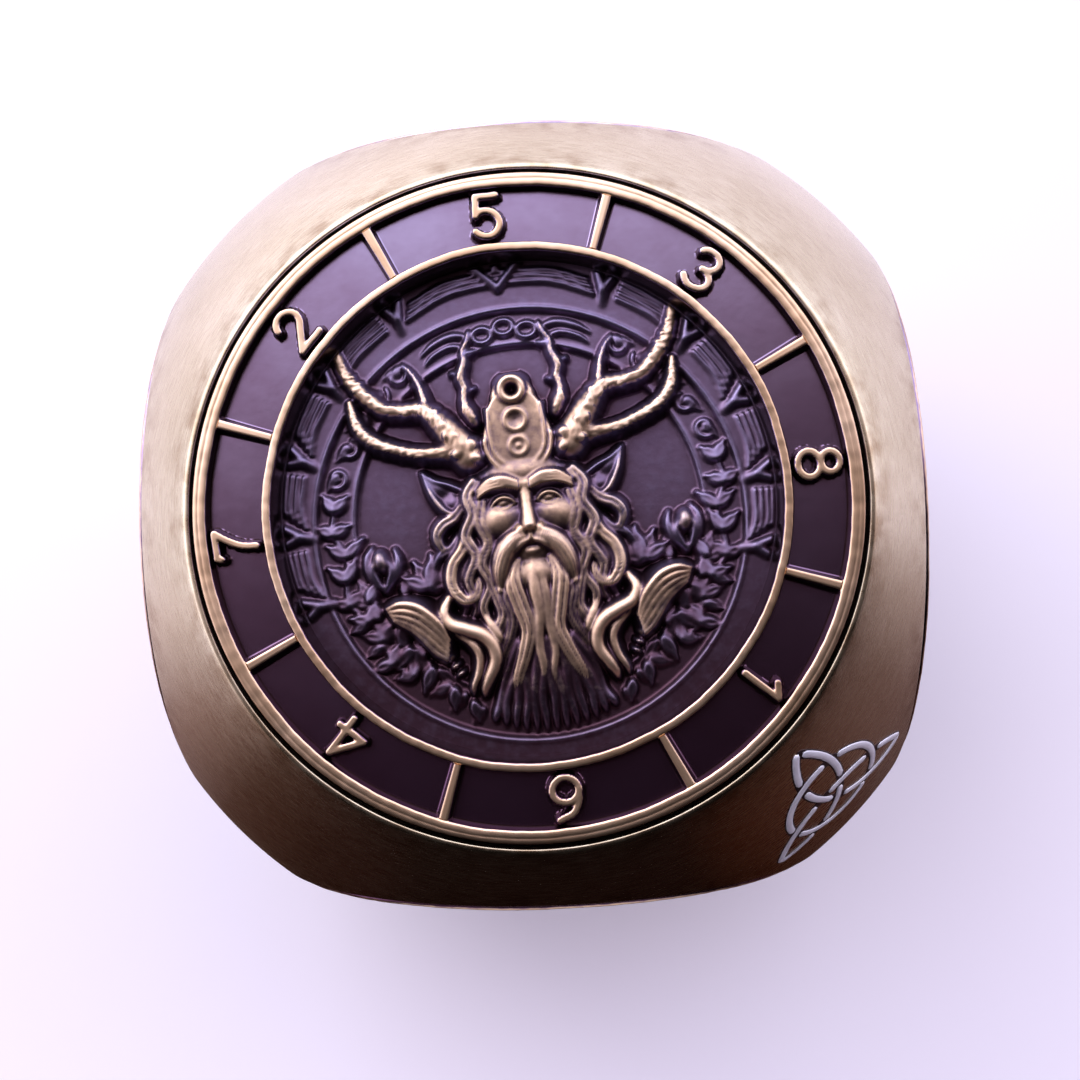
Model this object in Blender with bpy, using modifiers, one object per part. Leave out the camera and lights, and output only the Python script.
"""A metal die with a spinning number disc on each of its six faces.

The body is a ball cut flat on six sides. Each flat has a round pocket, and in the pocket's
floor sits a small ball bearing. A cast disc turns on the bearing's inner ring: it has an
outer rim, a ring of number cells and a sunk medallion. The frame's origin is the centre of
the die, where the six spinning axes meet. The d8 disc faces up.
"""

import math
from collections import namedtuple

import bpy
from mathutils import Matrix, Vector

MM = 0.001

# Body. Heights are measured along a face's axis, from the centre of the die.
HALF_ACROSS_FLATS = 17.5 * MM
LAND_RADIUS = 14.6 * MM
POCKET_RADIUS = 14.4 * MM
POCKET_FLOOR = 15.2 * MM
BALL_RADIUS = math.hypot(HALF_ACROSS_FLATS, LAND_RADIUS)

# Spinner disc
DISC_RADIUS = 14.15 * MM
RIM_TOP = HALF_ACROSS_FLATS + 0.3 * MM
RIM_WIDTH = 0.6 * MM
INNER_RIM_RADIUS = 11.32 * MM
NUMBER_FLOOR = RIM_TOP - 0.55 * MM
MEDALLION_FLOOR = RIM_TOP - 1.95 * MM
DISC_UNDERSIDE = POCKET_FLOOR + 0.2 * MM
WALL_DRAFT = 0.12 * MM
MEDALLION_DRAFT = 0.15 * MM
RIM_CHAMFER = 0.15 * MM
DIVIDER_WIDTH = 0.5 * MM

# Ball bearing, a quarter-inch bore in a half-inch outer ring
BORE_RADIUS = 3.175 * MM
BEARING_RADIUS = 6.35 * MM
BEARING_WIDTH = 4.76 * MM
BALL_BEARING_RADIUS = 0.794 * MM
BALLS = 7
PITCH_RADIUS = (BORE_RADIUS + BEARING_RADIUS) / 2
BEARING_FRONT = POCKET_FLOOR - 0.2 * MM
BEARING_BACK = BEARING_FRONT - BEARING_WIDTH
BEARING_MIDDLE = BEARING_FRONT - BEARING_WIDTH / 2
RACE_HALF_WIDTH = 0.8 * MM
INNER_LAND_RADIUS = 4.2 * MM
OUTER_LAND_RADIUS = 5.42 * MM
RACE_DEPTH = 0.36 * MM
SHIELD_THICKNESS = 0.3 * MM
SHIELD_INSET = 0.15 * MM
CAGE_HALF_WIDTH = 0.3 * MM
CAGE_HALF_HEIGHT = 0.25 * MM

# How the pieces sit in each other
SEAT_RADIUS = BEARING_RADIUS + 0.1 * MM
SEAT_SHOULDER = BEARING_BACK - 0.05 * MM
RELIEF_RADIUS = 5.2 * MM
RELIEF_FLOOR = SEAT_SHOULDER - 0.6 * MM
BOSS_RADIUS = INNER_LAND_RADIUS
BOSS_END = BEARING_FRONT + 0.05 * MM
STEM_RADIUS = BORE_RADIUS - 0.1 * MM
STEM_END = BEARING_BACK + 0.3 * MM

DISC_STEPS = 32
POCKET_STEPS = 32
BEARING_STEPS = 16
CAGE_STEPS = 2 * BALLS
MERGE = 0.001 * MM

# Each face: outward and upward directions, how many number cells its disc has, and the
# angle that the disc rests at, counter-clockwise as seen from outside.
Face = namedtuple("Face", "die outward upward cells spin")
FACES = (
    Face("d8", (0, 0, 1), (0, 1, 0), 8, 5.8),
    Face("d20", (0, -1, 0), (0, 0, 1), 20, -4.0),
    Face("d10", (1, 0, 0), (0, 0, 1), 10, 11.0),
    Face("d6", (0, 1, 0), (0, 0, 1), 6, -9.0),
    Face("d12", (-1, 0, 0), (0, 0, 1), 12, 7.0),
    Face("d4", (0, 0, -1), (0, 1, 0), 4, 14.0),
)


def material(name, colour, roughness):
    """A metal of one colour."""
    made = bpy.data.materials.new(name)
    made.use_nodes = True
    shader = made.node_tree.nodes["Principled BSDF"]
    shader.inputs["Base Color"].default_value = (*colour, 1.0)
    shader.inputs["Metallic"].default_value = 1.0
    shader.inputs["Roughness"].default_value = roughness
    return made


def collection(name):
    made = bpy.data.collections.new(name)
    bpy.context.scene.collection.children.link(made)
    return made


def turned(name, profile, steps, closed=False):
    """A solid turned about Z. The (radius, height) points run outwards and down the outer side."""
    corners = [(radius, 0.0, height) for radius, height in profile]
    edges = [(i, i + 1) for i in range(len(corners) - 1)]
    if closed:
        edges.append((len(corners) - 1, 0))
    mesh = bpy.data.meshes.new(name)
    mesh.from_pydata(corners, edges, [])
    obj = bpy.data.objects.new(name, mesh)
    screw = obj.modifiers.new("Turn", "SCREW")
    screw.steps = screw.render_steps = steps
    screw.use_merge_vertices = True
    screw.merge_threshold = MERGE
    return obj


def ring(name, inner, outer, bottom, top, steps=BEARING_STEPS):
    """A plain flat ring."""
    profile = [(inner, top), (outer, top), (outer, bottom), (inner, bottom)]
    return turned(name, profile, steps, closed=True)


def boolean(obj, operation, other):
    """Cuts or joins obj with other, which stays in the file as a guide."""
    modifier = obj.modifiers.new(operation.title(), "BOOLEAN")
    modifier.operation = operation
    modifier.object = other
    modifier.solver = "EXACT"
    other.hide_render = True
    other.display_type = "WIRE"


def primitive(name, add, **settings):
    """One of Blender's primitives, as a named object outside any collection."""
    add(**settings)
    obj = bpy.context.object
    obj.name = obj.data.name = name
    for holder in list(obj.users_collection):
        holder.objects.unlink(obj)
    return obj


def joined(name, pieces):
    """One object that holds the meshes of several, each where it stands."""
    vertices, faces = [], []
    for piece in pieces:
        start = len(vertices)
        vertices += [piece.matrix_basis @ vertex.co for vertex in piece.data.vertices]
        faces += [[start + i for i in polygon.vertices] for polygon in piece.data.polygons]
        bpy.data.objects.remove(piece)
    mesh = bpy.data.meshes.new(name)
    mesh.from_pydata(vertices, [], faces)
    return bpy.data.objects.new(name, mesh)


def face_axis(face):
    """An empty at the centre of the die, with Z out through the face and Y towards its top."""
    outward = Vector(face.outward)
    upward = Vector(face.upward)
    across = upward.cross(outward)
    axis = bpy.data.objects.new(face.die + "_axis", None)
    axis.empty_display_size = HALF_ACROSS_FLATS
    axis.matrix_basis = Matrix((across, upward, outward)).transposed().to_4x4()
    return axis


def spinner_profile():
    """The disc from the middle of its medallion, over both rims, to the end of its stem."""
    rim_inside = DISC_RADIUS - RIM_WIDTH
    inner_rim_inside = INNER_RIM_RADIUS - RIM_WIDTH
    return [
        (0.0, MEDALLION_FLOOR),
        (inner_rim_inside - MEDALLION_DRAFT, MEDALLION_FLOOR),
        (inner_rim_inside, RIM_TOP),
        (INNER_RIM_RADIUS, RIM_TOP),
        (INNER_RIM_RADIUS + WALL_DRAFT, NUMBER_FLOOR),
        (rim_inside - WALL_DRAFT, NUMBER_FLOOR),
        (rim_inside, RIM_TOP),
        (DISC_RADIUS - RIM_CHAMFER, RIM_TOP),
        (DISC_RADIUS, RIM_TOP - RIM_CHAMFER),
        (DISC_RADIUS, DISC_UNDERSIDE),
        (BOSS_RADIUS, DISC_UNDERSIDE),
        (BOSS_RADIUS, BOSS_END),
        (STEM_RADIUS, BOSS_END),
        (STEM_RADIUS, STEM_END),
        (0.0, STEM_END),
    ]


def dividers(face):
    """The low bars between the number cells. Their ends run into both rims."""
    start = INNER_RIM_RADIUS - RIM_WIDTH / 3
    end = DISC_RADIUS - RIM_WIDTH * 2 / 3
    bottom = NUMBER_FLOOR - 0.2 * MM
    top = RIM_TOP - 0.05 * MM
    bars = []
    for cell in range(face.cells):
        angle = math.radians(90 + (cell + 0.5) * 360 / face.cells)
        bar = primitive("bar", bpy.ops.mesh.primitive_cube_add, size=1.0)
        place = Matrix.Translation(((start + end) / 2, 0.0, (bottom + top) / 2))
        size = Matrix.Diagonal((end - start, DIVIDER_WIDTH, top - bottom, 1.0))
        bar.matrix_basis = Matrix.Rotation(angle, 4, "Z") @ place @ size
        bars.append(bar)
    return joined(face.die + "_dividers", bars)


def pocket_cutter(face):
    """The pocket, the bearing's seat and the relief behind it, as one stepped tool."""
    profile = [
        (0.0, BALL_RADIUS),
        (POCKET_RADIUS, BALL_RADIUS),
        (POCKET_RADIUS, POCKET_FLOOR),
        (SEAT_RADIUS, POCKET_FLOOR),
        (SEAT_RADIUS, SEAT_SHOULDER),
        (RELIEF_RADIUS, SEAT_SHOULDER),
        (RELIEF_RADIUS, RELIEF_FLOOR),
        (0.0, RELIEF_FLOOR),
    ]
    return turned(face.die + "_pocket", profile, POCKET_STEPS)


def inner_ring(face):
    """The bearing's inner ring, with its race in the outer side."""
    profile = [
        (BORE_RADIUS, BEARING_FRONT),
        (INNER_LAND_RADIUS, BEARING_FRONT),
        (INNER_LAND_RADIUS, BEARING_MIDDLE + RACE_HALF_WIDTH),
        (INNER_LAND_RADIUS - RACE_DEPTH, BEARING_MIDDLE),
        (INNER_LAND_RADIUS, BEARING_MIDDLE - RACE_HALF_WIDTH),
        (INNER_LAND_RADIUS, BEARING_BACK),
        (BORE_RADIUS, BEARING_BACK),
    ]
    return turned(face.die + "_bearing_inner_ring", profile, BEARING_STEPS, closed=True)


def outer_ring(face):
    """The bearing's outer ring, with its race in the inner side."""
    profile = [
        (OUTER_LAND_RADIUS, BEARING_FRONT),
        (BEARING_RADIUS, BEARING_FRONT),
        (BEARING_RADIUS, BEARING_BACK),
        (OUTER_LAND_RADIUS, BEARING_BACK),
        (OUTER_LAND_RADIUS, BEARING_MIDDLE - RACE_HALF_WIDTH),
        (OUTER_LAND_RADIUS + RACE_DEPTH, BEARING_MIDDLE),
        (OUTER_LAND_RADIUS, BEARING_MIDDLE + RACE_HALF_WIDTH),
    ]
    return turned(face.die + "_bearing_outer_ring", profile, BEARING_STEPS, closed=True)


def ball_cage(face):
    """The cage that keeps the balls apart, in one piece with them."""
    balls = []
    for number in range(BALLS):
        angle = 2 * math.pi * number / BALLS
        ball = primitive(
            "ball",
            bpy.ops.mesh.primitive_ico_sphere_add,
            subdivisions=2,
            radius=BALL_BEARING_RADIUS,
        )
        spot = (PITCH_RADIUS * math.cos(angle), PITCH_RADIUS * math.sin(angle), BEARING_MIDDLE)
        ball.matrix_basis = Matrix.Translation(spot)
        balls.append(ball)
    cage = ring(
        face.die + "_bearing_cage",
        PITCH_RADIUS - CAGE_HALF_WIDTH,
        PITCH_RADIUS + CAGE_HALF_WIDTH,
        BEARING_MIDDLE - CAGE_HALF_HEIGHT,
        BEARING_MIDDLE + CAGE_HALF_HEIGHT,
        CAGE_STEPS,
    )
    return cage, joined(face.die + "_balls", balls)


def shield(name, top):
    """One of the two thin plates that close the bearing."""
    inner = INNER_LAND_RADIUS + 0.15 * MM
    outer = OUTER_LAND_RADIUS - 0.15 * MM
    return ring(name, inner, outer, top - SHIELD_THICKNESS, top)


def body():
    """A ball cut by a cube to six round flats."""
    ball = primitive(
        "body", bpy.ops.mesh.primitive_ico_sphere_add, subdivisions=5, radius=BALL_RADIUS
    )
    cube = primitive(
        "body_flats", bpy.ops.mesh.primitive_cube_add, size=2 * HALF_ACROSS_FLATS
    )
    boolean(ball, "INTERSECT", cube)
    return ball, cube


def smooth(obj):
    """Fixes the shape that the modifiers make, shaded smooth up to its sharp edges."""
    graph = bpy.context.evaluated_depsgraph_get()
    mesh = bpy.data.meshes.new_from_object(obj.evaluated_get(graph))
    mesh.name = obj.name
    paint = obj.data.materials[0]
    obj.modifiers.clear()
    obj.data = mesh
    mesh.materials.clear()
    mesh.materials.append(paint)
    mesh.shade_smooth()
    mesh.set_sharp_from_angle(angle=math.radians(30))


def main():
    for obj in list(bpy.data.objects):
        bpy.data.objects.remove(obj)
    parts = collection("Spinner die")
    cutters = collection("Cutters")
    brass = material("antique_brass", (0.42, 0.29, 0.15), 0.32)
    cast_brass = material("cast_brass", (0.46, 0.32, 0.16), 0.3)
    race_steel = material("bearing_steel", (0.6, 0.6, 0.62), 0.18)
    plate_steel = material("shield_steel", (0.5, 0.5, 0.52), 0.35)
    made = []

    def add(obj, paint, axis=None, spin=0.0):
        obj.data.materials.clear()
        obj.data.materials.append(paint)
        parts.objects.link(obj)
        obj.parent = axis
        obj.matrix_basis = Matrix.Rotation(math.radians(spin), 4, "Z")
        made.append(obj)

    def guide(obj, axis=None, spin=0.0):
        cutters.objects.link(obj)
        obj.parent = axis
        obj.matrix_basis = Matrix.Rotation(math.radians(spin), 4, "Z")

    block, flats = body()
    add(block, brass)
    guide(flats)
    for face in FACES:
        axis = face_axis(face)
        parts.objects.link(axis)

        tool = pocket_cutter(face)
        guide(tool, axis)
        boolean(block, "DIFFERENCE", tool)

        spinner = turned("spinner_" + face.die, spinner_profile(), DISC_STEPS)
        bars = dividers(face)
        add(spinner, cast_brass, axis, face.spin)
        guide(bars, axis, face.spin)
        boolean(spinner, "UNION", bars)

        cage, balls = ball_cage(face)
        add(cage, race_steel, axis)
        guide(balls, axis)
        boolean(cage, "UNION", balls)

        add(inner_ring(face), race_steel, axis, face.spin)
        add(outer_ring(face), race_steel, axis)
        front = BEARING_FRONT - SHIELD_INSET
        back = BEARING_BACK + SHIELD_INSET + SHIELD_THICKNESS
        add(shield(face.die + "_bearing_front_shield", front), plate_steel, axis)
        add(shield(face.die + "_bearing_rear_shield", back), plate_steel, axis)

    bpy.context.view_layer.update()
    for obj in made:
        smooth(obj)


main()
